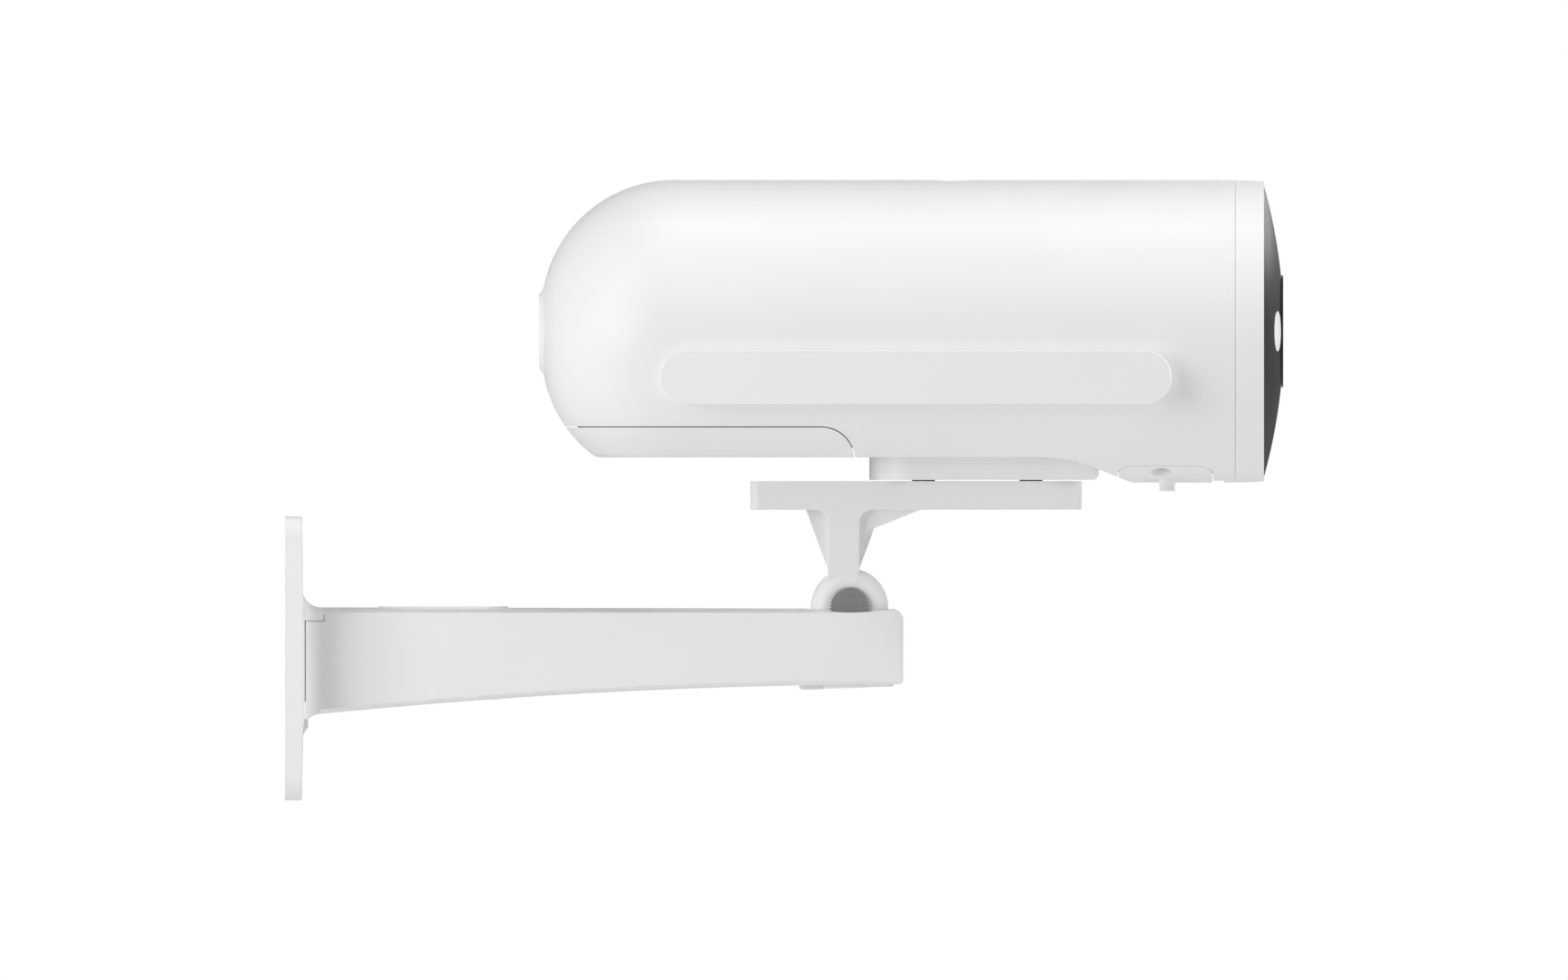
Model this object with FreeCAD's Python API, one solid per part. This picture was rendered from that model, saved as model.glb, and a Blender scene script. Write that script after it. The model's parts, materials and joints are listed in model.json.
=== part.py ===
import FreeCAD, Part
import math
import os

# Outdoor bullet security camera on a wall arm, in millimetres.
# X runs out from the wall along the arm and the lens axis, Y across, Z up.
# The origin is the centre of the wall plate's back face. Left and right are the camera's own,
# so the right side is -Y.

V = FreeCAD.Vector
ALONG_X, ALONG_Y, ALONG_Z = V(1, 0, 0), V(0, 1, 0), V(0, 0, 1)

# ---------------------------------------------------------------- driving dimensions
# camera body
BODY_R = 45.0                       # outside radius of the cylindrical housing
LENS_Z = 97.3                       # height of the lens axis above the plate's centre
WALL = 2.5                          # housing wall
SEAM = 0.3                          # open seam between neighbouring covers
DOME_R = 39.3                       # radius of the arc that is turned into the rear dome
DOME_X = 115.6                      # where the rear dome meets the straight cylinder
RING_X = 282.7                      # rear edge of the front ring
FACE_X = 291.3                      # front edge of the front ring
FLAT_Z = 59.8                       # flat underside of the rear half
BELLY_X = 225.5                     # where the underside starts to swell back to the full circle
BELLY_ANGLE = 22.0                  # slope of that swell
BELLY_R1, BELLY_R2 = 40.0, 11.0     # radii into and out of the slope
FLAT_EDGE_R = 5.0                   # rounding round the flat underside

# front window
WINDOW_R = 43.5
WINDOW_RISE = 5.95                  # how far the dark window bulges forward of the ring
WINDOW_T = 2.2
TRIM_R = 16.7                       # lens trim ring
TRIM_X0, TRIM_X1 = 296.5, 297.05    # the ring's flange, in front of the window
TRIM_HOLE_R = 16.0
SPOT_Y, SPOT_R = 24.0, 6.0          # two spotlight lenses beside the camera lens

# side rails
RAIL_X0, RAIL_X1 = 111.5, 263.8
RAIL_Z, RAIL_R = 83.6, 8.1
RAIL_FACE_Y = 49.0

# covers
COVER_TOP_Z, COVER_FRONT_X, COVER_CORNER_R = 68.7, 169.4, 9.8
HATCH_X0, HATCH_X1, HATCH_HALF_Y, HATCH_R = 248.1, 275.9, 20.4, 5.0
HATCH_SCREW_X, HATCH_SCREW_Y = 260.6, 16.4
PEG_X, PEG_Y, PEG_R, PEG_BOTTOM_Z = 262.5, -9.0, 2.4, 49.65
LIP_T = 1.0                         # lip inside the seams, that the covers rest against
PANEL_Z0, PANEL_Z1 = 60.6, 62.4     # port panel behind the hatch
PORT_BOARD_Z = 68.0                 # circuit board that carries the ports
MIC_X = 198.5
BUTTON_BOARD_X = 83.6

# foot and platform
FOOT_X0, FOOT_X1, FOOT_HALF_Y, FOOT_Z = 173.9, 242.2, 14.0, 53.1
PLATFORM_X0, PLATFORM_X1, PLATFORM_HALF_Y = 138.5, 237.1, 8.5
PLATFORM_Z0, PLATFORM_Z1 = 44.2, 52.75
PLATFORM_SCREWS_X = (190.0, 222.0)
FOOT_SCREWS_X, FOOT_SCREW_Y = (182.0, 232.0), 8.5
STEM_X0, STEM_X1 = 161.5, 170.9

# tilt pivot and pan turret
PIVOT_X, PIVOT_Z = 168.0, 15.3
BARREL_R, BARREL_HALF_Y, BARREL_EDGE_R = 11.5, 9.5, 5.0
AXLE_R, AXLE_ROOT_R, AXLE_TEETH, AXLE_HALF_Y = 6.0, 5.35, 38, 11.0
EYE_R, EYE_HALF_Y, SHANK_R = 9.0, 3.3, 3.0
TILT_DOWN, TILT_UP = 60.0, 25.0     # degrees of tilt each way, which the barrel's slot clears
TURRET_R, TURRET_Z0, TURRET_Z1 = 13.0, 0.8, 13.4
NUT_TOP_Z = -4.2
SOCKET_R, SOCKET_OUT_R, SOCKET_Z0, SOCKET_Z1 = 13.3, 14.3, -3.2, 0.2

# wall arm
PLATE_T, PLATE_CROWN, PLATE_HALF_Y, PLATE_HALF_Z, PLATE_R = 5.1, 0.45, 32.0, 42.25, 6.0
BOLT_Y, BOLT_Z, BOLT_R, BOLT_HEAD_R = 22.0, 32.0, 2.6, 4.6
ARM_HALF_Y = 16.0
RIM_Z = 13.55                       # crease between the arm's flanks and its crowned top
RIDGE_Z, RIDGE_FALL = 15.2, 0.0025  # height of the crown's ridge at the wall, and its fall per mm
LID_Z0 = 11.0                       # underside of the lid
LABEL_Z = 15.45                     # top of the raised label pad
ARM_BELLY = ((5.2, -17.1), (78.0, -11.1), (185.0, -7.7))    # three points of the underside's arc
TIP_R, ARM_BELLY_R, FLARE_R = 3.6, 1.4, 5.5
COVER_T = 1.5
LID_FLARE_Z, LID_FLARE_X = 11.2, 11.6
ROOT_X = 5.9                        # the arm's root stands this far out on the wall plate
CAP_X, CAP_R, CAP_Z0, CAP_RISE = 167.0, 14.0, -9.4, 1.0
COVER_SCREWS_X = (60.0, 130.0)

MICRO = 0.02                        # face clearance between pieces that are pressed together
CLEAR = 0.3                         # gap between pieces that move past each other
FAR = 400.0                         # longer than the whole object


# ---------------------------------------------------------------- helpers
def box(x0, x1, y0, y1, z0, z1):
    return Part.makeBox(x1 - x0, y1 - y0, z1 - z0, V(x0, y0, z0))


def rod_x(r, x0, x1, y=0.0, z=LENS_Z):
    return Part.makeCylinder(r, x1 - x0, V(x0, y, z), ALONG_X)


def rod_y(r, half, x=PIVOT_X, z=PIVOT_Z):
    return Part.makeCylinder(r, 2 * half, V(x, -half, z), ALONG_Y)


def rod_z(r, z0, z1, x, y=0.0):
    return Part.makeCylinder(r, z1 - z0, V(x, y, z0), ALONG_Z)


def tube_x(r_out, r_in, x0, x1, y=0.0, z=LENS_Z):
    return rod_x(r_out, x0, x1, y, z).cut(rod_x(r_in, x0, x1, y, z))


def line(a, b):
    return Part.LineSegment(a, b).toShape()


def arc(a, b, c):
    return Part.Arc(a, b, c).toShape()


def xz(x, z, y=0.0):
    return V(x, y, z)


def slab_y(edges, half):
    """A closed XZ outline, given as edges at Y = 0, thickened to both sides."""
    face = Part.Face(Part.Wire(edges))
    face.translate(V(0, -half, 0))
    return face.extrude(V(0, 2 * half, 0))


def polygon_y(points, half):
    corners = [xz(x, z) for x, z in points]
    edges = [line(a, b) for a, b in zip(corners, corners[1:] + corners[:1])]
    return slab_y(edges, half)


def rounded_z(x0, x1, half_y, r, z0, z1):
    """A plate with rounded plan corners, standing from z0 to z1."""
    return fillet(box(x0, x1, -half_y, half_y, z0, z1), r, lambda e: along(e, ALONG_Z))


def rounded_x(half_y, half_z, r, x0, x1, y=0.0, z=0.0):
    shape = box(x0, x1, y - half_y, y + half_y, z - half_z, z + half_z)
    return fillet(shape, r, lambda e: along(e, ALONG_X))


def stadium_y(x0, x1, z, r, y0, y1):
    """A flat bar with round ends, its long axis along X, between two Y planes."""
    ends = [Part.makeCylinder(r, y1 - y0, V(x, y0, z), ALONG_Y) for x in (x0 + r, x1 - r)]
    return fuse(box(x0 + r, x1 - r, y0, y1, z - r, z + r), *ends)


def along(edge, direction):
    """Whether a straight edge runs along that axis."""
    if not isinstance(edge.Curve, Part.Line):
        return False
    return abs(abs(edge.Curve.Direction.dot(direction)) - 1) < 1e-6


def in_plane(edge, axis, value, tolerance=1e-3):
    low, high = {"x": ("XMin", "XMax"), "y": ("YMin", "YMax"), "z": ("ZMin", "ZMax")}[axis]
    bounds = edge.BoundBox
    return abs(getattr(bounds, low) - value) < tolerance and abs(getattr(bounds, high) - value) < tolerance


def fillet(shape, r, chosen):
    return shape.makeFillet(r, [e for e in shape.Edges if chosen(e)])


def fuse(first, *others):
    shape = first
    for other in others:
        shape = shape.fuse(other)
    return shape.removeSplitter()


def cut(shape, *tools):
    for tool in tools:
        shape = shape.cut(tool)
    return shape


def turned(points_and_arcs):
    """A solid of revolution about the lens axis from (x, r) points; a 3-tuple of points is an arc."""
    edges = []
    for piece in points_and_arcs:
        ends = [xz(x, LENS_Z + r) for x, r in piece]
        edges.append(arc(*ends) if len(ends) == 3 else line(*ends))
    face = Part.Face(Part.Wire(edges))
    return face.revolve(V(0, 0, LENS_Z), ALONG_X, 360)


def outline(*points):
    """Straight pieces that close a (x, r) outline."""
    return [(a, b) for a, b in zip(points, points[1:] + points[:1])]


def mirror_y(shape):
    return shape.mirror(V(0, 0, 0), ALONG_Y)


def group(shapes):
    """Separate identical solids that share one node."""
    return Part.makeCompound(list(shapes))


def hexagon_z(x, across_corners, z0, z1):
    corners = []
    for degrees in range(0, 361, 60):
        a = math.radians(degrees)
        corners.append(V(x + across_corners * math.cos(a), across_corners * math.sin(a), z0))
    return Part.Face(Part.makePolygon(corners)).extrude(V(0, 0, z1 - z0))


def screw_z(x, y, head_r, head_z0, head_z1, shank_r, tip_z):
    """A screw that points up, with a cross recess in its head."""
    wide, narrow, floor = 0.6 * head_r, 0.13 * head_r, head_z0 + 0.7
    recess = [box(x - a, x + a, y - b, y + b, head_z0, floor) for a, b in ((wide, narrow), (narrow, wide))]
    return cut(fuse(rod_z(head_r, head_z0, head_z1, x, y), rod_z(shank_r, head_z1, tip_z, x, y)), *recess)


# ---------------------------------------------------------------- housing surfaces
def underside(offset):
    """Everything below the housing's underside, raised by offset: flat, swell, then clear of the circle."""
    angle = math.radians(BELLY_ANGLE)
    r1, r2 = BELLY_R1 + offset, BELLY_R2 - offset
    top = FLAT_Z + offset
    bottom = LENS_Z - BODY_R - 0.1 + offset
    centre1 = (BELLY_X, top - r1)
    drop = (r1 + r2) * (1 - math.cos(angle))
    slope = (top - bottom - drop) / math.sin(angle)
    slope_end = BELLY_X + r1 * math.sin(angle) + slope * math.cos(angle)
    centre2 = (slope_end + r2 * math.sin(angle), bottom + r2)

    def on(centre, r, degrees):
        a = math.radians(degrees)
        return xz(centre[0] + r * math.sin(a), centre[1] + r * math.cos(a))

    start, knee = xz(BELLY_X, top), on(centre1, r1, BELLY_ANGLE)
    toe, end = on(centre2, -r2, BELLY_ANGLE), xz(centre2[0], bottom)
    edges = [
        line(xz(0, top), start),
        arc(start, on(centre1, r1, BELLY_ANGLE / 2), knee),
        line(knee, toe),
        arc(toe, on(centre2, -r2, BELLY_ANGLE / 2), end),
        line(end, xz(FAR, bottom)),
        line(xz(FAR, bottom), xz(FAR, 0)),
        line(xz(FAR, 0), xz(0, 0)),
        line(xz(0, 0), xz(0, top)),
    ]
    return slab_y(edges, 2 * BODY_R)


def bullet(offset, front_x):
    """The full round bullet, its wall moved inwards by offset."""
    r, dome_r, flat_r = BODY_R - offset, DOME_R - offset, BODY_R - DOME_R
    rear_x, lean = DOME_X - dome_r, math.sqrt(0.5) * dome_r
    return turned([
        ((rear_x, 0), (rear_x, flat_r)),
        ((rear_x, flat_r), (DOME_X - lean, flat_r + lean), (DOME_X, r)),
        ((DOME_X, r), (front_x, r)),
        ((front_x, r), (front_x, 0)),
        ((front_x, 0), (rear_x, 0)),
    ])


def body_solid(offset, front_x):
    """The bullet with its flat rear underside and the swell towards the front."""
    top = FLAT_Z + offset
    whole = bullet(offset, front_x)
    rear = whole.cut(box(0, FAR, -FAR, FAR, 0, top))
    edge_r = FLAT_EDGE_R - offset

    def flat_rim(e):
        return in_plane(e, "z", top) and not in_plane(e, "x", front_x)

    rear = fillet(rear, edge_r, flat_rim)
    front = whole.common(box(BELLY_X, FAR, -FAR, FAR, 0, FAR)).cut(underside(offset))
    return fuse(rear, front)


def cover_zone(gap):
    """The part of the housing that the battery cover takes, grown by gap."""
    r, top, front = COVER_CORNER_R + gap, COVER_TOP_Z + gap, COVER_FRONT_X + gap
    lean = math.sqrt(0.5) * r
    centre_x, centre_z = front - r, top - r
    edges = [
        line(xz(0, 30), xz(0, top)),
        line(xz(0, top), xz(centre_x, top)),
        arc(xz(centre_x, top), xz(centre_x + lean, centre_z + lean), xz(front, centre_z)),
        line(xz(front, centre_z), xz(front, 30)),
        line(xz(front, 30), xz(0, 30)),
    ]
    return slab_y(edges, 2 * BODY_R)


def hatch_zone(gap):
    return rounded_z(HATCH_X0 - gap, HATCH_X1 + gap, HATCH_HALF_Y + gap, HATCH_R + gap, 40, 62)


OUTER = body_solid(0.0, RING_X - MICRO)
INNER = body_solid(WALL, RING_X + 5)
BODY_WALL = OUTER.cut(INNER)


# ---------------------------------------------------------------- camera housing and covers
def rear_boss():
    """Raised ring on the rear dome round the push button, with a thicker floor inside."""
    face_x, rim_r, root_r, root_x = 75.6, 10.9, 13.4, 77.2
    middle = (76.05, 11.45)
    ring = turned([
        ((face_x, 0), (face_x, rim_r)),
        ((face_x, rim_r), middle, (root_x, root_r)),
        ((root_x, root_r), (81.0, 12.0)),
        ((81.0, 12.0), (81.0, 0)),
        ((81.0, 0), (face_x, 0)),
    ])
    return ring


def seam_lip(zone, reach):
    """Lip on the inside of the wall all round a cover's opening; the cover closes against it."""
    inner_face = body_solid(WALL + LIP_T, RING_X)
    root = body_solid(WALL - 0.1, RING_X - 5).cut(inner_face).common(zone(2.3).cut(zone(SEAM)))
    shelf = body_solid(WALL + 0.3, RING_X - 5).cut(inner_face).common(zone(SEAM + 0.1).cut(zone(-reach)))
    return root.fuse(shelf)


def make_main_housing():
    posts = [rod_x(1.5, 80.9, BUTTON_BOARD_X, y) for y in (-6.5, 6.5)]
    shell = fuse(BODY_WALL, rear_boss(), *posts)
    shell = cut(shell, rod_x(9.8, 75.0, 77.9), rod_x(3.1, 75.0, 82.0))
    shell = cut(shell, cover_zone(SEAM), hatch_zone(SEAM))
    screw_room = [rod_z(3.9, 50, 70, HATCH_SCREW_X, y) for y in (-HATCH_SCREW_Y, HATCH_SCREW_Y)]
    hatch_lip = cut(seam_lip(hatch_zone, 0.8), box(0, FAR, -50, 50, PANEL_Z0 - CLEAR, 100), *screw_room)
    shell = fuse(shell, seam_lip(cover_zone, 1.8), hatch_lip)
    # shallow dish on top with the microphone hole in its floor
    dish_floor, dish_top = LENS_Z + BODY_R - 0.45, LENS_Z + BODY_R + 0.3
    dish = Part.makeCone(3.6, 7.1, dish_top - dish_floor, V(MIC_X, 0, dish_floor), ALONG_Z)
    shell = cut(shell, dish, rod_z(0.6, LENS_Z, dish_top, MIC_X))
    # fingernail notch in front of the hatch
    notch = polygon_y([(276.0, 50.0), (276.0, 53.25), (279.4, 52.85), (279.4, 50.0)], 7.0)
    shell = cut(shell, notch)
    foot_holes = [rod_z(1.3, FLAT_Z - 1, FLAT_Z + WALL + 1, x, y) for x, y in foot_screw_places()]
    return cut(shell, *foot_holes)


def make_battery_cover():
    """Slides backwards off its hooks, then drops away."""
    cover = BODY_WALL.common(cover_zone(0.0))
    hooks = [box(x, x + 8, y - 3, y + 3, FLAT_Z + WALL - 0.1, FLAT_Z + WALL + 0.8) for x in (128, 148)
             for y in (-26.0, 26.0)]
    hooks = [h.common(INNER) for h in hooks]
    return fuse(cover, *[h for h in hooks if h.Volume > 1])


def make_front_ring():
    """Bezel that closes the housing's mouth and seats the dark window."""
    spigot_r, seat_x = 42.3, 288.5
    edge = 0.3
    return turned(outline(
        (278.5, 40.8), (278.5, spigot_r), (280.0, spigot_r), (280.0, 41.7), (281.2, 41.7),
        (281.2, spigot_r), (RING_X, spigot_r), (RING_X, BODY_R - edge), (RING_X + edge, BODY_R),
        (FACE_X, BODY_R - edge), (FACE_X, WINDOW_R + 0.1), (seat_x, WINDOW_R + 0.1), (seat_x, 40.8),
    ))


def make_ring_seal():
    return tube_x(42.45, 41.7 + MICRO, 280.1, 281.1)


def window_sphere(grow):
    """The ball whose cap is the window's front."""
    r = (WINDOW_R ** 2 + WINDOW_RISE ** 2) / (2 * WINDOW_RISE)
    return Part.makeSphere(r + grow, V(FACE_X + WINDOW_RISE - r, 0, LENS_Z), ALONG_X, -90, 90, 360)


def make_front_window():
    cap = rod_x(WINDOW_R, FACE_X - WINDOW_T + 0.1, FACE_X + 10).common(window_sphere(0.0))
    hollow = window_sphere(-WINDOW_T)
    spots = [rod_x(SPOT_R + 0.05, FACE_X - 5, FACE_X + 10, y) for y in (-SPOT_Y, SPOT_Y)]
    return cut(cap, hollow, rod_x(TRIM_HOLE_R, FACE_X - 5, FACE_X + 10), *spots)


def make_window_seal():
    return tube_x(43.3, 41.2, 288.5, 289.2 - MICRO)


def make_lens_trim_ring():
    """Black flange round the lens, with a tube behind it that hides the barrel."""
    return turned(outline(
        (290.0, 9.7), (290.0, 15.9), (TRIM_X0, 15.9), (TRIM_X0, TRIM_R), (TRIM_X1 - 0.25, TRIM_R),
        (TRIM_X1, TRIM_R - 0.25), (TRIM_X1, 10.9), (TRIM_X1 - 0.35, 10.55), (295.2, 10.55), (295.2, 9.7),
    ))


def make_lens_window():
    return rod_x(10.5, 295.2, 296.7)


def make_spotlight_lens(side):
    y = side * SPOT_Y
    lens = rod_x(SPOT_R - 0.05, 290.5, FACE_X + 10, y).common(window_sphere(0.12))
    hollow = Part.makeCone(3.2, 4.6, 3.0, V(290.5, y, LENS_Z), ALONG_X)
    return lens.cut(hollow)


def make_side_rail(side):
    """Flat-faced bar along the housing's flank that covers an aerial."""
    bar = stadium_y(RAIL_X0, RAIL_X1, RAIL_Z, RAIL_R, 30.0, RAIL_FACE_Y)
    bar = fillet(bar, 0.35, lambda e: in_plane(e, "y", RAIL_FACE_Y))
    pocket = stadium_y(RAIL_X0 + 1.8, RAIL_X1 - 1.8, RAIL_Z, RAIL_R - 1.8, 30.0, RAIL_FACE_Y - 1.6)
    rail = cut(bar, pocket, bullet(0.0, RING_X))
    rail = max(rail.Solids, key=lambda s: s.Volume)
    return rail if side > 0 else mirror_y(rail)


def make_antenna(side):
    """Thin aerial board in the rail's pocket, standing on its foam strip."""
    strip = box(RAIL_X0 + 14, RAIL_X1 - 14, RAIL_FACE_Y - 2.7, RAIL_FACE_Y - 1.7, RAIL_Z - 4.5, RAIL_Z + 4.5)
    return strip if side > 0 else mirror_y(strip)


def make_rear_button():
    cap = fillet(rod_x(9.5, 75.6, 77.0), 0.4, lambda e: in_plane(e, "x", 75.6))
    return fuse(cap, rod_x(3.0, 77.0, 82.2), rod_x(4.0, 81.3, 82.2))


# ---------------------------------------------------------------- port hatch and what is behind it
HATCH_RECESS_Z = 58.3


def make_port_hatch():
    hatch = BODY_WALL.common(hatch_zone(0.0))
    posts = [rod_z(3.6, 54.0, PANEL_Z0 - CLEAR, HATCH_SCREW_X, y) for y in (-HATCH_SCREW_Y, HATCH_SCREW_Y)]
    posts = [p.common(OUTER) for p in posts]
    hatch = fuse(hatch, *posts)
    for y in (-HATCH_SCREW_Y, HATCH_SCREW_Y):
        funnel = Part.makeCone(3.3, 2.75, 2.6, V(HATCH_SCREW_X, y, 54.2), ALONG_Z)
        hatch = cut(hatch, funnel, rod_z(2.75, 50, HATCH_RECESS_Z, HATCH_SCREW_X, y))
        hatch = cut(hatch, rod_z(1.3, 50, PANEL_Z0, HATCH_SCREW_X, y))
    return cut(hatch, rod_z(1.4, 50, 58, PEG_X, PEG_Y))


def make_hatch_seal():
    """Silicone wall that closes round the ports."""
    ring = rounded_z(250.6, 273.4, 12.7, 4.0, 54.0, PANEL_Z0 - CLEAR)
    ring = ring.cut(rounded_z(252.2, 271.8, 11.5, 2.6, 50.0, 62.0))
    return ring.common(INNER)


def make_hatch_screws():
    return group(
        screw_z(HATCH_SCREW_X, y, 2.6, HATCH_RECESS_Z - 1.1, HATCH_RECESS_Z, 1.2, 66.0)
        for y in (-HATCH_SCREW_Y, HATCH_SCREW_Y)
    )


def make_hatch_pull_tab():
    """Soft peg to pull the hatch off with, buttoned through the hatch."""
    button_r = 2.3
    inner_z = LENS_Z - math.sqrt((BODY_R - WALL) ** 2 - (abs(PEG_Y) + button_r) ** 2) + 0.05
    tab = rod_z(PEG_R, PEG_BOTTOM_Z, 55.0, PEG_X, PEG_Y)
    tab = fillet(tab, 0.5, lambda e: in_plane(e, "z", PEG_BOTTOM_Z))
    groove = tube_z(PEG_R + 1, PEG_R - 0.25, PEG_BOTTOM_Z + 0.9, PEG_BOTTOM_Z + 1.3, PEG_X, PEG_Y)
    tab = tab.cut(OUTER).cut(groove)
    button = rod_z(button_r, inner_z, inner_z + 0.8, PEG_X, PEG_Y)
    neck = rod_z(1.4 - MICRO, PEG_BOTTOM_Z + 2, inner_z + 0.4, PEG_X, PEG_Y)
    return fuse(tab, neck, button)


def tube_z(r_out, r_in, z0, z1, x, y=0.0):
    return rod_z(r_out, z0, z1, x, y).cut(rod_z(r_in, z0, z1, x, y))


USB_X, CARD_X, RESET_X, RESET_R = 256.3, 262.6, 268.6, 1.3


def make_port_panel():
    """Wall above the hatch that keeps the inside dry, with the port openings in it."""
    panel = box(246.5, 277.0, -40, 40, PANEL_Z0, PANEL_Z1).common(body_solid(WALL + MICRO, RING_X))
    for y in (-HATCH_SCREW_Y, HATCH_SCREW_Y):
        panel = fuse(panel, rod_z(3.0, PANEL_Z1 - 0.1, PORT_BOARD_Z, HATCH_SCREW_X, y))
        panel = cut(panel, rod_z(1.25, 50, 66.5, HATCH_SCREW_X, y))
    return cut(
        panel,
        box(USB_X - 1.7, USB_X + 1.7, -4.6, 4.6, 50, PANEL_Z1 + 1),
        box(CARD_X - 1.1, CARD_X + 1.1, -7.1, 7.1, 50, PANEL_Z1 + 1),
        rod_z(RESET_R + 0.06, 50, PANEL_Z1 + 1, RESET_X),
    )


def make_usb_port():
    shell = box(USB_X - 1.6, USB_X + 1.6, -4.5, 4.5, PANEL_Z0 + 0.2, PORT_BOARD_Z - MICRO)
    shell = fillet(shell, 1.4, lambda e: along(e, ALONG_Z))
    hollow = box(USB_X - 1.3, USB_X + 1.3, -4.2, 4.2, 50, PORT_BOARD_Z - 1)
    hollow = fillet(hollow, 1.1, lambda e: along(e, ALONG_Z))
    tongue = box(USB_X - 0.35, USB_X + 0.35, -3.3, 3.3, PANEL_Z0 + 1.2, PORT_BOARD_Z - 0.9)
    return fuse(shell.cut(hollow), tongue)


def make_card_socket():
    block = box(CARD_X - 1.0, CARD_X + 1.0, -7.0, 7.0, PANEL_Z0 + 0.2, PORT_BOARD_Z + 7.0)
    return block.cut(box(CARD_X - 0.4, CARD_X + 0.4, -5.6, 5.6, 50, PORT_BOARD_Z + 6.0))


def make_memory_card():
    top = PORT_BOARD_Z + 5.8
    card = box(CARD_X - 0.35, CARD_X + 0.35, -5.5, 5.5, top - 15.0, top)
    return card.cut(box(CARD_X - 1, CARD_X + 1, 4.2, 6.0, top - 6.8, top + 1))


def make_reset_button():
    collar_z, collar_r, collar_t = PANEL_Z1 + CLEAR, 2.1, 0.8
    pin = rod_z(RESET_R, PANEL_Z0 - 0.4, collar_z, RESET_X)
    return fuse(pin, rod_z(collar_r, collar_z, collar_z + collar_t, RESET_X))


def make_port_board():
    """Small board above the ports, with the reset switch under it."""
    board = box(248.0, 274.0, -20.0, 20.0, PORT_BOARD_Z, PORT_BOARD_Z + 1.2)
    board = board.cut(box(CARD_X - 1.1, CARD_X + 1.1, -7.1, 7.1, PORT_BOARD_Z - 1, PORT_BOARD_Z + 2))
    switch = box(RESET_X - 2.0, RESET_X + 2.0, -2.5, 2.5, PORT_BOARD_Z - 3.0, PORT_BOARD_Z + 0.1)
    return fuse(board, switch, rod_z(1.2, PANEL_Z1 + 1.8, PORT_BOARD_Z - 2.9, RESET_X))


# ---------------------------------------------------------------- lens, lights and electronics
def make_chassis():
    """Frame inside the housing: a bulkhead for the lens and a shelf above the battery."""
    inside = body_solid(WALL + 0.4, RING_X)
    bulkhead = rod_x(BODY_R, 238.0, 240.5).common(inside).cut(rod_x(8.0, 230, 250))
    bulkhead = bulkhead.cut(box(230, 250, -60, 60, 0, 68.0))
    shelf = box(106.0, 238.1, -34.0, 34.0, 105.0, 107.0).common(inside)
    posts = [rod_z(2.6, 106.9, 110.0, x, y) for x, y in board_screw_places()]
    lens_posts = [rod_x(2.2, 240.4, 243.0, y, LENS_Z + z) for y in (-16, 16) for z in (-16, 16)]
    frame = fuse(bulkhead, shelf, *posts, *lens_posts)
    return cut(frame, *[rod_z(1.05, 107.5, 111, x, y) for x, y in board_screw_places()])


def board_screw_places():
    return [(x, y) for x in (118.0, 230.0) for y in (-26.0, 26.0)]


def make_main_board():
    board = box(112.0, 236.0, -30.0, 30.0, 110.0, 111.6)
    parts = [
        box(120, 132, -24, -12, 111.6, 113.4), box(120, 128, 8, 22, 111.6, 114.6),
        box(138, 146, -26, -18, 111.6, 112.8), box(150, 156, 18, 26, 111.6, 113.6),
        box(205, 226, -8, 8, 111.6, 113.2), box(214, 222, 14, 26, 111.6, 115.0),
    ]
    return cut(fuse(board, *parts), *[rod_z(1.3, 105, 115, x, y) for x, y in board_screw_places()])


def make_board_screws():
    return group(
        fuse(rod_z(1.0, 108.0, 111.6, x, y), rod_z(2.2, 111.6, 112.9, x, y)) for x, y in board_screw_places()
    )


def make_processor_shield():
    return box(162, 198, -16, 16, 111.6, 114.8).cut(box(162.4, 197.6, -15.6, 15.6, 111.6, 114.4))


def make_heat_spreader():
    """Finned aluminium block on the processor's lid."""
    base = box(160, 200, -18, 18, 114.8 + MICRO, 117.8)
    fins = [box(160, 200, y, y + 1.4, 117.7, 127.0) for y in (-18, -13.1, -8.2, -3.3, 1.6, 6.5, 11.4, 16.6)]
    return fuse(base, *fins)


def make_sensor_board():
    board = rounded_x(19.0, 19.0, 3.0, 243.0, 244.6, 0.0, LENS_Z)
    plugs = box(241.4, 243.1, -8, 8, LENS_Z - 12, LENS_Z - 9)
    return fuse(board, plugs)


def make_image_sensor():
    return box(244.6 + MICRO, 245.8, -4.6, 4.6, LENS_Z - 3.6, LENS_Z + 3.6)


def make_lens_holder():
    """Block on the sensor board with the filter's track and the lens thread."""
    base = rounded_x(17.0, 14.0, 2.0, 244.6 + MICRO, 252.0, 0.0, LENS_Z)
    track = box(244.0, 249.6, -15.0, 15.0, LENS_Z - 10, LENS_Z + 10)
    collar = rod_x(9.6, 251.9, 262.0)
    return cut(fuse(base.cut(track), collar), rod_x(7.6, 240, 270))


FILTER_STROKE = 8.0


def make_ir_filter():
    """Carriage with an infrared-cut pane and a clear pane, slid across the sensor by its motor."""
    frame = box(246.1, 249.3, -12.5, 4.2, LENS_Z - 9.7, LENS_Z + 9.7)
    panes = [box(247.2, 248.0, y - 3.4, y + 3.4, LENS_Z - 5, LENS_Z + 5) for y in (-FILTER_STROKE, 0.0)]
    holes = [box(246, 250, y - 3.4, y + 3.4, LENS_Z - 5, LENS_Z + 5) for y in (-FILTER_STROKE, 0.0)]
    return fuse(cut(frame, *holes), *panes)


def make_lens_barrel():
    return turned(outline(
        (254.0, 5.5), (254.0, 7.5), (262.3, 7.5), (262.3, 10.6), (276.0, 10.6), (276.0, 9.8), (286.6, 9.8),
        (286.6, 8.7), (281.5, 8.4), (281.5, 7.0), (258.4, 5.5),
    ))


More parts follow.
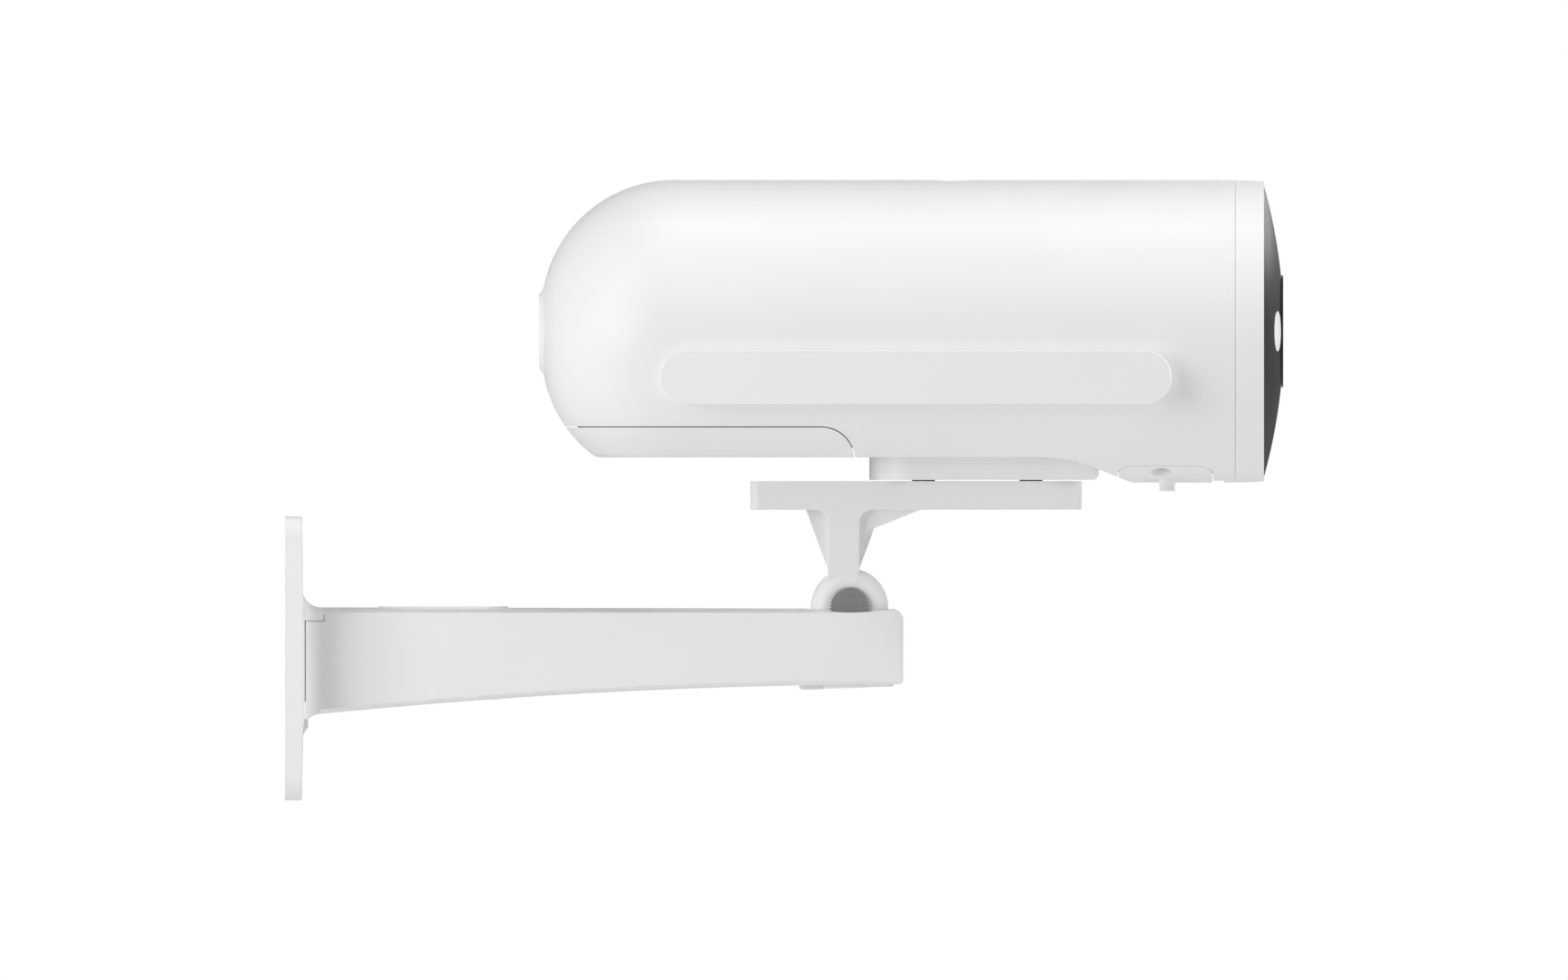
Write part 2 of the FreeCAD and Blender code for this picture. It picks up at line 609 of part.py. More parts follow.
def make_lens_elements():
    """Domed front glass in the barrel's mouth and the small rear glass behind it."""
    apex_x, curve_r, glass_r = 288.2, 14.7, 8.35
    ball = Part.makeSphere(curve_r, V(apex_x - curve_r, 0, LENS_Z), ALONG_X, -90, 90, 360)
    front = rod_x(glass_r, 281.6, apex_x + 1).common(ball)
    return group([front, rod_x(5.5 - MICRO, 255.0, 257.6)])


def make_led_board():
    board = tube_x(40.7, 13.0, 279.0, 280.6)
    return board.cut(box(270, 290, -50, 50, 0, 62.0))


def make_spotlight_leds():
    return group(
        box(280.6 + MICRO, 282.4, y - 2.5, y + 2.5, LENS_Z - 2.5, LENS_Z + 2.5) for y in (-SPOT_Y, SPOT_Y)
    )


def make_infrared_leds():
    lamps = []
    for degrees in (45, 90, 135, 225, 270, 315):
        y = 29 * math.cos(math.radians(degrees))
        z = LENS_Z + 29 * math.sin(math.radians(degrees))
        base = box(280.6 + MICRO, 281.8, y - 1.8, y + 1.8, z - 1.8, z + 1.8)
        lamps.append(fuse(base, rod_x(1.4, 281.7, 282.8, y, z)))
    return group(lamps)


def make_microphone():
    return rod_z(3.0, LENS_Z + 40.2, LENS_Z + BODY_R - WALL - 0.15, MIC_X)


def make_button_board():
    board = rounded_x(8.0, 8.0, 2.0, BUTTON_BOARD_X, BUTTON_BOARD_X + 1.2, 0.0, LENS_Z)
    return fuse(board, rod_x(2.4, BUTTON_BOARD_X - 0.6, BUTTON_BOARD_X + 0.1))


# ---------------------------------------------------------------- battery
CELL_R, CELL_Y, CELL_ROWS_Z = 9.15, 9.6, (74.0, 93.2)
CELL_X0, CELL_X1 = 105.6, 170.6
CASE_X0, CASE_X1, CASE_HALF_Y, CASE_Z0, CASE_Z1, CASE_T = 103.2, 173.4, 20.2, 63.4, 103.8, 1.2


def cell_places():
    return [(y, z) for y in (-CELL_Y, CELL_Y) for z in CELL_ROWS_Z]


def make_battery_case():
    case = box(CASE_X0, CASE_X1, -CASE_HALF_Y, CASE_HALF_Y, CASE_Z0, CASE_Z1)
    lower = [e for e in case.Edges if along(e, ALONG_X) and in_plane(e, "z", CASE_Z0)]
    case = case.makeChamfer(3.5, lower)
    room = box(CASE_X0 + CASE_T, CASE_X1 - CASE_T, -CASE_HALF_Y + CASE_T, CASE_HALF_Y - CASE_T,
               CASE_Z0 + CASE_T, CASE_Z1 - CASE_T)
    lower = [e for e in room.Edges if along(e, ALONG_X) and in_plane(e, "z", CASE_Z0 + CASE_T)]
    return case.cut(room.makeChamfer(3.0, lower))


def make_battery_cells():
    cells = []
    for y, z in cell_places():
        can = fillet(rod_x(CELL_R, CELL_X0, CELL_X1 - 1.2, y, z), 0.8, lambda e: not along(e, ALONG_X))
        cells.append(fuse(can, rod_x(2.8, CELL_X1 - 1.3, CELL_X1, y, z)))
    return group(cells)


def make_battery_contacts():
    rear = [box(104.5, 105.0, -14.5, 14.5, z - 4, z + 4) for z in CELL_ROWS_Z]
    front = [box(171.3, 171.8, y - 4, y + 4, 70.0, 97.2) for y in (-CELL_Y, CELL_Y)]
    rear = [fuse(strip, *[rod_x(3.0, 104.9, 105.6 - MICRO, y, z) for y in (-CELL_Y, CELL_Y)])
            for strip, z in zip(rear, CELL_ROWS_Z)]
    front = [fuse(strip, *[rod_x(2.0, CELL_X1 + MICRO, 171.4, y, z) for z in CELL_ROWS_Z])
             for strip, y in zip(front, (-CELL_Y, CELL_Y))]
    return group(rear + front)


# ---------------------------------------------------------------- foot, platform and tilt pivot
def foot_screw_places():
    return [(x, y) for x in FOOT_SCREWS_X for y in (-FOOT_SCREW_Y, FOOT_SCREW_Y)]


def make_camera_foot():
    """Shoe under the housing: round behind, blending under the swell in front."""
    plan = rounded_z(FOOT_X0, FOOT_X1 + 10, FOOT_HALF_Y, FOOT_HALF_Y - 0.2, FOOT_Z, FLAT_Z + 3)
    front = rounded_z(FOOT_X0 - 40, FOOT_X1, FOOT_HALF_Y, 4.0, FOOT_Z - 5, FLAT_Z + 5)
    toe_r = 2.0
    lean = toe_r * (1 - math.sqrt(0.5))
    toe = slab_y([
        line(xz(0, FOOT_Z), xz(FOOT_X1 - toe_r, FOOT_Z)),
        arc(xz(FOOT_X1 - toe_r, FOOT_Z), xz(FOOT_X1 - lean, FOOT_Z + lean), xz(FOOT_X1, FOOT_Z + toe_r)),
        line(xz(FOOT_X1, FOOT_Z + toe_r), xz(FOOT_X1, 80)),
        line(xz(FOOT_X1, 80), xz(0, 80)),
        line(xz(0, 80), xz(0, FOOT_Z)),
    ], 30)
    foot = plan.common(front).common(toe)
    foot = foot.cut(OUTER)
    foot = max(foot.Solids, key=lambda s: s.Volume)
    for x, y in foot_screw_places():
        foot = cut(foot, rod_z(2.8, 50, FOOT_Z + 1.9, x, y), rod_z(1.5, 50, 70, x, y))
    return cut(foot, *[rod_z(2.5, 50, 58.6, x) for x in PLATFORM_SCREWS_X])


def make_foot_screws():
    return group(
        screw_z(x, y, 2.6, FOOT_Z + 0.3, FOOT_Z + 1.9, 1.25, FLAT_Z + WALL) for x, y in foot_screw_places()
    )


def make_platform_spacers():
    """Washers that hold the foot just clear of the platform."""
    return group(tube_z(3.4, 2.7, PLATFORM_Z1, FOOT_Z, x) for x in PLATFORM_SCREWS_X)


def make_platform_screws():
    screws = []
    for x in PLATFORM_SCREWS_X:
        head = rod_z(4.2, PLATFORM_Z0 + 0.6, PLATFORM_Z0 + 4.0, x)
        socket = hexagon_z(x, 2.3, PLATFORM_Z0 + 0.6, PLATFORM_Z0 + 2.8)
        screws.append(fuse(head, rod_z(2.45, PLATFORM_Z0 + 3.9, 58.2, x)).cut(socket))
    return group(screws)


def toothed(grow):
    """The axle's section: a round bar with straight teeth all along it."""
    points = []
    for i in range(2 * AXLE_TEETH + 1):
        r = (AXLE_R if i % 2 else AXLE_ROOT_R) + grow
        a = math.pi * i / AXLE_TEETH
        points.append(V(PIVOT_X + r * math.cos(a), -AXLE_HALF_Y - 2 * grow, PIVOT_Z + r * math.sin(a)))
    return Part.Face(Part.makePolygon(points)).extrude(V(0, 2 * AXLE_HALF_Y + 4 * grow, 0))


def make_ratchet_axle():
    return toothed(0.0)


def tilt_slot():
    """Room in the barrel for the eyebolt's ring, and for its shank over the whole tilt."""
    swing = math.degrees(math.asin((SHANK_R + 0.2) / (EYE_R + 0.3))) + 3
    first, last = -90 - TILT_UP - swing, -90 + TILT_DOWN + swing
    reach = 2.2 * BARREL_R
    points = [(PIVOT_X, PIVOT_Z)]
    for degrees in (first, (2 * first + last) / 3, (first + 2 * last) / 3, last):
        a = math.radians(degrees)
        points.append((PIVOT_X + reach * math.cos(a), PIVOT_Z + reach * math.sin(a)))
    half = EYE_HALF_Y + 0.4
    return fuse(polygon_y(points, half), rod_y(EYE_R + 0.3, half))


def make_platform():
    """Flat bar on a T-shaped stem that ends in the pivot barrel, with ribs under the bar."""
    bar = box(PLATFORM_X0, PLATFORM_X1, -PLATFORM_HALF_Y, PLATFORM_HALF_Y, PLATFORM_Z0, PLATFORM_Z1)
    bar = fillet(bar, 2.6, lambda e: along(e, ALONG_Z) and in_plane(e, "x", PLATFORM_X0))
    bar = fillet(bar, 1.4, lambda e: along(e, ALONG_Z) and in_plane(e, "x", PLATFORM_X1))
    stem = box(STEM_X0, STEM_X1, -PLATFORM_HALF_Y, PLATFORM_HALF_Y, PIVOT_Z, PLATFORM_Z0 + 1)
    tee = fuse(bar, stem)

    def inner_corners(e):
        on_stem = in_plane(e, "x", STEM_X0) or in_plane(e, "x", STEM_X1)
        return along(e, ALONG_Y) and in_plane(e, "z", PLATFORM_Z0) and on_stem

    def flank_edges(e):
        on_flank = in_plane(e, "y", PLATFORM_HALF_Y) or in_plane(e, "y", -PLATFORM_HALF_Y)
        return on_flank and e.BoundBox.ZMax < PLATFORM_Z0 + 0.1 and not in_plane(e, "z", PIVOT_Z)

    def barrel_rims(e):
        return in_plane(e, "y", BARREL_HALF_Y) or in_plane(e, "y", -BARREL_HALF_Y)

    tee = fillet(tee, 4.0, inner_corners)
    tee = fillet(tee, 0.4, flank_edges)
    barrel = fillet(rod_y(BARREL_R, BARREL_HALF_Y), BARREL_EDGE_R, barrel_rims)
    waist_z, rib_z = 26.6, PLATFORM_Z0 + 1
    core = polygon_y([(STEM_X0, waist_z), (154.7, rib_z), (177.7, rib_z), (STEM_X1, waist_z)], 2.5)
    wing_x0, wing_x1, wing_z = STEM_X1 - 1, 189.0, 36.9
    wing = polygon_y([(wing_x0, wing_z), (wing_x0, rib_z), (wing_x1, rib_z), (wing_x1, PLATFORM_Z0),
                      (STEM_X1, wing_z)], 6.0)
    body = fuse(tee, barrel, core, wing)
    for x in PLATFORM_SCREWS_X:
        body = cut(body, rod_z(4.5, 40, PLATFORM_Z0 + 4.0, x), rod_z(2.6, 40, 60, x))
    return cut(body, toothed(MICRO), rod_y(AXLE_R + 0.1, EYE_HALF_Y + 0.4), tilt_slot())


def make_turret():
    """Turntable in the arm's tip that cradles the barrel; the axle's ends lie in its half bores."""
    rotor = rod_z(TURRET_R, TURRET_Z0, TURRET_Z1, PIVOT_X)
    return cut(
        rotor,
        rod_y(BARREL_R + 0.35, BARREL_HALF_Y + 0.3),
        rod_y(AXLE_R + 0.1, AXLE_HALF_Y + 0.3),
        rod_z(SHANK_R + MICRO, -5, 10, PIVOT_X),
    )


def make_eyebolt():
    """Pulls the axle down into the turret when its nut is tightened, which locks pan and tilt."""
    ring = rod_y(EYE_R, EYE_HALF_Y)
    shank = rod_z(SHANK_R, -7.5, PIVOT_Z - 6.5, PIVOT_X)
    return cut(fuse(ring, shank), rod_y(AXLE_R + 0.1, EYE_HALF_Y + 1))


def make_lock_nut():
    nut_t, across_corners = 3.0, 5.77
    hexagon = hexagon_z(PIVOT_X, across_corners, NUT_TOP_Z - nut_t, NUT_TOP_Z)
    return hexagon.cut(rod_z(SHANK_R + MICRO, -10, 0, PIVOT_X))


def make_lock_spring_washer():
    return tube_z(7.0, SHANK_R + 0.2, NUT_TOP_Z + MICRO, SOCKET_Z0 - CLEAR, PIVOT_X)


def make_turret_washer():
    return tube_z(12.8, 5.0, SOCKET_Z1 + CLEAR, TURRET_Z0 - MICRO, PIVOT_X)


# ---------------------------------------------------------------- wall arm
def arm_plan(half_y, x0, z0, z1):
    return fuse(box(x0, PIVOT_X, -half_y, half_y, z0, z1), rod_z(half_y, z0, z1, PIVOT_X))


def arm_side(raise_z, top_z, x0):
    """The arm's side outline as a wide slab: straight top, arched underside."""
    a, b, c = [xz(x, z + raise_z) for x, z in ARM_BELLY]
    top_rear, top_tip = xz(ARM_BELLY[0][0], top_z), xz(ARM_BELLY[2][0], top_z)
    edges = [arc(a, b, c), line(c, top_tip), line(top_tip, top_rear), line(top_rear, a)]
    return slab_y(edges, 40).common(box(x0, FAR, -50, 50, -50, 50))


def ridge_z(x):
    return RIDGE_Z - RIDGE_FALL * x


def crown():
    """Everything under the arm's crowned top, whose ridge falls a little towards the tip."""
    sections = []
    reach = ARM_HALF_Y + 0.5
    for x in (ARM_BELLY[0][0] - 0.2, PIVOT_X + ARM_HALF_Y + 0.2):
        sag = ridge_z(x) - RIM_Z
        r = (ARM_HALF_Y ** 2 + sag ** 2) / (2 * sag)
        edge_z = ridge_z(x) - r + math.sqrt(r ** 2 - reach ** 2)
        left, right = V(x, -reach, edge_z), V(x, reach, edge_z)
        low_left, low_right = V(x, -reach, -60), V(x, reach, -60)
        sections.append(Part.Wire([
            arc(left, V(x, 0, ridge_z(x)), right), line(right, low_right), line(low_right, low_left),
            line(low_left, left),
        ]))
    return Part.makeLoft(sections, True, True)


def tip_rounding():
    """Slab whose outline rounds the top of the arm's tip."""
    tip_x = PIVOT_X + ARM_HALF_Y + 0.05
    top = ridge_z(tip_x) + 0.04
    lean = TIP_R * (1 - math.sqrt(0.5))
    return slab_y([
        line(xz(-20, top + 6), xz(tip_x - TIP_R, top)),
        arc(xz(tip_x - TIP_R, top), xz(tip_x - lean, top - lean), xz(tip_x, top - TIP_R)),
        line(xz(tip_x, top - TIP_R), xz(tip_x, -60)),
        line(xz(tip_x, -60), xz(-20, -60)),
        line(xz(-20, -60), xz(-20, top + 6)),
    ], 40)


def arm_envelope():
    """Outside of the arm with its rounded belly and the flare against the wall plate."""
    foot_x = ARM_BELLY[0][0]

    def belly_edges(e):
        bounds = e.BoundBox
        flat = bounds.ZMax < -7 and bounds.ZMax - bounds.ZMin < 12
        return flat and not in_plane(e, "x", foot_x) and abs(bounds.YMax) > 1e-3

    def root_edges(e):
        bounds = e.BoundBox
        on_arm = max(abs(bounds.YMin), abs(bounds.YMax)) < ARM_HALF_Y + 0.1
        return in_plane(e, "x", foot_x) and bounds.DiagonalLength < 45 and on_arm

    arm = arm_side(0.0, 30.0, foot_x).common(arm_plan(ARM_HALF_Y, foot_x, -30, 31))
    arm = arm.common(crown()).common(tip_rounding())
    arm = fillet(arm, ARM_BELLY_R, belly_edges)
    flared = fuse(arm, rounded_x(30, 30, 5, foot_x - 2, foot_x))
    flared = fillet(flared, FLARE_R, root_edges)
    flared = flared.cut(box(-10, foot_x, -50, 50, -50, 50))
    # shallow scoop across the top, under the pivot
    half_chord, floor_z = 10.5, RIM_Z + 0.1
    sag = ridge_z(PIVOT_X) - floor_z
    scoop_r = (half_chord ** 2 + sag ** 2) / (2 * sag)
    return flared.cut(rod_y(scoop_r, 40, PIVOT_X + 0.5, floor_z + scoop_r))


ARM = arm_envelope()


def lid_zone(gap):
    """The part of the arm that belongs to the wall plate's casting: its lid, and all of the flare's top."""
    half = ARM_HALF_Y - COVER_T - 0.15 + gap
    flare = box(-10, LID_FLARE_X + gap, -60, 60, LID_FLARE_Z - gap, 60)
    return arm_plan(half, -10, LID_Z0, 60).fuse(flare)


def root_hook(grow):
    """Small catch under the root that the cover is hooked over."""
    back_x, face_x, low_z, half = 4.5, 6.9 + grow, -23.2 - grow, 7.0 + grow
    return polygon_y([(back_x, -17.6), (face_x, -18.3 + grow), (face_x, -20.6), (6.1 + grow, -21.4 - grow),
                      (5.3, low_z), (back_x, low_z)], half)


def make_arm_cover():
    """Long trough clipped over the arm from below, open on top for the lid."""
    cover = ARM.cut(lid_zone(0.15)).cut(box(-10, ROOT_X + 0.25, -60, 60, -60, 60)).cut(root_hook(0.15))
    room_half = ARM_HALF_Y - COVER_T
    room = arm_side(COVER_T + 0.5, 60, 0).common(arm_plan(room_half, 0, -30, 61))
    cover = cover.cut(room)
    cover = max(cover.Solids, key=lambda s: s.Volume)
    cover = cut(cover, rod_z(12.2, -20, 0, PIVOT_X))
    for x in COVER_SCREWS_X:
        floor = belly_z(x)
        countersink = Part.makeCone(3.4, 1.6, 1.8, V(x, 0, floor - 0.2), ALONG_Z)
        cover = cut(cover, rod_z(1.6, -20, 0, x), countersink)
    return cover


def belly_z(x):
    """Height of the arm's underside at x."""
    probe = arm_side(0.0, RIM_Z, 0).common(line(xz(x, -30), xz(x, RIM_Z)))
    return probe.BoundBox.ZMin


def make_arm_cover_screws():
    screws = []
    for x in COVER_SCREWS_X:
        floor = belly_z(x)
        head = Part.makeCone(3.1, 1.4, 1.7, V(x, 0, floor + 0.1), ALONG_Z)
        slot = box(x - 2.0, x + 2.0, -0.35, 0.35, floor, floor + 0.6)
        screws.append(fuse(head, rod_z(1.23, floor + 1.7, floor + 9, x)).cut(slot))
    return group(screws)


def wall_plate():
    half_z, edge = PLATE_HALF_Z, PLATE_T
    profile = [
        line(xz(0, -half_z), xz(edge, -half_z)),
        arc(xz(edge, -half_z), xz(edge + PLATE_CROWN, 0), xz(edge, half_z)),
        line(xz(edge, half_z), xz(0, half_z)),
        line(xz(0, half_z), xz(0, -half_z)),
    ]
    plate = slab_y(profile, PLATE_HALF_Y).common(rounded_x(PLATE_HALF_Y, half_z, PLATE_R, -1, 10))
    return fillet(plate, 0.5, lambda e: e.BoundBox.XMin > edge - 0.1)


def make_bracket_spine():
    """Casting of wall plate, arm beam with its lid, and the turret's socket at the tip."""
    lid = ARM.common(lid_zone(0.0))
    root = ARM.common(box(0, ROOT_X, -40, 40, -40, 40))
    web_half = ARM_HALF_Y - COVER_T - 0.2
    beam = arm_side(COVER_T + 2.5, LID_Z0 + 0.6, 5.0).common(box(5.0, 158.0, -web_half, web_half, -40, 40))
    beam = beam.cut(box(0, 152.0, -web_half + 2.5, web_half - 2.5, -40, LID_Z0 + 0.5))
    posts = [rod_z(3.2, belly_z(x) + COVER_T + 1.0, LID_Z0 + 1, x) for x in COVER_SCREWS_X]
    label_pad = stadium_z(28.0, 66.4, 7.0, RIM_Z, LABEL_Z)
    socket = rod_z(SOCKET_OUT_R, SOCKET_Z0, LID_Z0 + 1.5, PIVOT_X)
    spine = fuse(wall_plate(), root, lid, beam, socket, label_pad, root_hook(0.0), *posts)
    spine = cut(spine, rod_z(SOCKET_R, SOCKET_Z1, 40, PIVOT_X), rod_z(SHANK_R + 0.2, -20, 20, PIVOT_X))
    spine = cut(spine, *[rod_z(1.25, -20, belly_z(x) + 9.5, x) for x in COVER_SCREWS_X])
    for y in (-BOLT_Y, BOLT_Y):
        for z in (-BOLT_Z, BOLT_Z):
            hole = Part.makeCylinder(BOLT_R, 20, V(-5, y, z), ALONG_X)
            sink = Part.makeCone(BOLT_R, BOLT_HEAD_R + 0.6, 2.7, V(3.0, y, z), ALONG_X)
            spine = cut(spine, hole, sink)
    return spine.cut(gasket_ring(0.0, -1.0))


def stadium_z(x0, x1, r, z0, z1):
    return fuse(box(x0 + r, x1 - r, -r, r, z0, z1), rod_z(r, z0, z1, x0 + r), rod_z(r, z0, z1, x1 - r))


def gasket_ring(gap, back_x):
    ring = rounded_x(PLATE_HALF_Y - 2.5, PLATE_HALF_Z - 2.5, PLATE_R - 2.5, back_x, 1.5 - gap)
    return ring.cut(rounded_x(PLATE_HALF_Y - 4.9, PLATE_HALF_Z - 4.9, PLATE_R - 4.9, -5, 5))


def make_wall_gasket():
    return gasket_ring(0.0, 0.05)


def make_lock_cap():
    """Round cap under the arm's tip that hides the lock nut, with a coin slot to pry it out."""
    disc = rod_z(CAP_R, CAP_Z0, -7.2, CAP_X)
    disc = fillet(disc, 1.2, lambda e: in_plane(e, "z", CAP_Z0))
    x0, x1, below = CAP_X - CAP_R, CAP_X + CAP_R, CAP_Z0 - 5
    disc = disc.cut(polygon_y([(x0, CAP_Z0), (x1, CAP_Z0 + CAP_RISE), (x1, below), (x0, below)], 20))
    thumb_notches = [box(154.2, 160.1, y, y + 10, -20, -8.0) for y in (-16, 6)]
    disc = cut(disc, ARM, *thumb_notches)
    disc = cut(disc, rod_z(11.0, -7.75, 0, PIVOT_X))
    spigot = tube_z(12.1, 11.0, -8.2, -5.6, PIVOT_X)
    cap = fuse(disc, spigot)
    cap = max(cap.Solids, key=lambda s: s.Volume)
    slot = box(PIVOT_X - 9.0, PIVOT_X - 3.0, -1.0, 1.0, CAP_Z0 - 1, CAP_Z0 + 0.8)
    return cap.cut(slot)


# ---------------------------------------------------------------- writing the nodes
SINGLE = (
    make_bracket_spine, make_arm_cover, make_wall_gasket, make_arm_cover_screws, make_lock_cap,
    make_turret_washer, make_turret, make_eyebolt, make_lock_nut, make_lock_spring_washer,
    make_platform, make_ratchet_axle, make_platform_spacers, make_platform_screws, make_camera_foot,
    make_foot_screws, make_main_housing, make_front_ring, make_ring_seal, make_front_window,
    make_window_seal, make_lens_trim_ring, make_lens_window, make_chassis, make_lens_holder,
    make_lens_barrel, make_lens_elements, make_sensor_board, make_image_sensor, make_led_board,
    make_spotlight_leds, make_infrared_leds, make_main_board, make_processor_shield,
    make_heat_spreader, make_board_screws, make_battery_case, make_battery_cells,
    make_battery_contacts, make_microphone, make_port_panel, make_port_board, make_usb_port,
    make_card_socket, make_memory_card, make_button_board, make_rear_button, make_battery_cover,
    make_port_hatch, make_hatch_seal, make_hatch_screws, make_hatch_pull_tab, make_reset_button,
    make_ir_filter,
)
PAIRED = (make_spotlight_lens, make_side_rail, make_antenna)


def write(name, shape):
    if not shape.isValid():
        raise ValueError(f"{name} isn't a valid solid")
    shape.exportStep(f"parts/{name}.step")
    bounds = shape.BoundBox
    print(f"{name}: {len(shape.Solids)} solids, X {bounds.XMin:.1f}..{bounds.XMax:.1f}, "
          f"Y {bounds.YMin:.1f}..{bounds.YMax:.1f}, Z {bounds.ZMin:.1f}..{bounds.ZMax:.1f}, "
          f"{shape.Volume / 1000:.2f} cm3")


def main():
    os.makedirs("parts", exist_ok=True)
    for make in SINGLE:
        write(make.__name__.removeprefix("make_"), make())
    for make in PAIRED:
        for side, sign in (("left", 1), ("right", -1)):
            write(f"{make.__name__.removeprefix('make_')}_{side}", make(sign))


main()
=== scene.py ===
"""Looks for the wall-arm security camera: materials, inner leads, camera, light and floor. Metres."""
import json
import math

import bmesh
import bpy
from mathutils import Matrix, Vector


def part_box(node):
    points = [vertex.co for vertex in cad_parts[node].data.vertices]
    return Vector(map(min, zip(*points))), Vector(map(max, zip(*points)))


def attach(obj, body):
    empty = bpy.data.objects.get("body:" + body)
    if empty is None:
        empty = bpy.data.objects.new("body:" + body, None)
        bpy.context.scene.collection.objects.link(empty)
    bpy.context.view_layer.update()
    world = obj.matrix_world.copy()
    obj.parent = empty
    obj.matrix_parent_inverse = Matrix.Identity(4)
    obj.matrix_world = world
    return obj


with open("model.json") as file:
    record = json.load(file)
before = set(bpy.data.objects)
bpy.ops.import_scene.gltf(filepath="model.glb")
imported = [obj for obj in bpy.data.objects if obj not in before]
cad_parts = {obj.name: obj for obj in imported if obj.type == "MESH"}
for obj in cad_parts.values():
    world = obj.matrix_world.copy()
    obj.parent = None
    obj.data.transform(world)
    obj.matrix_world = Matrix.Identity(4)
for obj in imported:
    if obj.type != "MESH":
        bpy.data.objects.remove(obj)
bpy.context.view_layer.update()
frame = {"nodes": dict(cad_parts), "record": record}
NODES = frame["nodes"]
SLOT_OF = {s["node"]: s["material_slot"] for s in frame["record"]["subparts"]}

MM = 0.001
MICRON = 0.000001

# Camera
VIEW_WIDTH = 0.46656
VIEW_CENTRE_X = 0.14850
VIEW_CENTRE_Z = 0.05009
CAMERA_DISTANCE = 1.5

# Lamps
LIT_POINT = Vector((0.17, 0.0, 0.07))
BOX_DISTANCE = 1.3
BOX_WIDTH, BOX_HEIGHT = 0.8, 0.6
BACK_AZIMUTH, BACK_ELEVATION = 158, 15
BACK_DISTANCE = 1.4
BACK_WIDTH, BACK_HEIGHT = 0.9, 0.5
BACK_POWER = 1.6

# Floor and the lamp over it, which lights the object from below by way of the floor
FLOOR_X = 0.15
FLOOR_Z = -1.30
FLOOR_HALF_SIZE = 12.0
FLOOR_LAMP_Z = -0.6
FLOOR_LAMP_SIZE = 24.0
FLOOR_LAMP_POWER = 950.0

# Greys of the surround, and the Y of a direction at which the first starts and ends turning into the second
SURROUND_FRONT = (0.07, 0.07, 0.07)
SURROUND_BEHIND = (0.13, 0.13, 0.13)
TURN_FROM, TURN_TO = -0.25, 0.35

# Leads: radii, and routes in mm from where each one starts, with the first point just inside its piece
THIN_WIRE = 0.45 * MM
BATTERY_WIRE = 0.7 * MM
BATTERY_ROUTE = (
    (-0.4, 0, 0), (5.6, 8, -1), (8.6, 22, 3), (8.6, 25.7, 11), (6.6, 23, 18.6), (-5.5, 15, 19.6),
)
BUTTON_ROUTE = ((-0.2, 0, 0), (7, 0, 3), (16, 2, 12), (25, 7, 15.4))
MICROPHONE_ROUTE = ((0, 0, 0.1), (5, 1, -4), (11, 8, -15), (17.5, 17, -18))
LAMP_ROUTE = ((0.2, 0, 0), (-5, 0, 1), (-11, 0, 3.5), (-14.5, 0, 2.5))
LAMP_LEAD_REACH = 15.0 * MM
SOLDER_DEPTH = 0.2 * MM


# ---------------------------------------------------------------- material building blocks
NOISE_LOW, NOISE_HIGH = 0.3, 0.7
MIX_FACTOR, MIX_FIRST, MIX_SECOND, MIX_RESULT = 0, 6, 7, 2


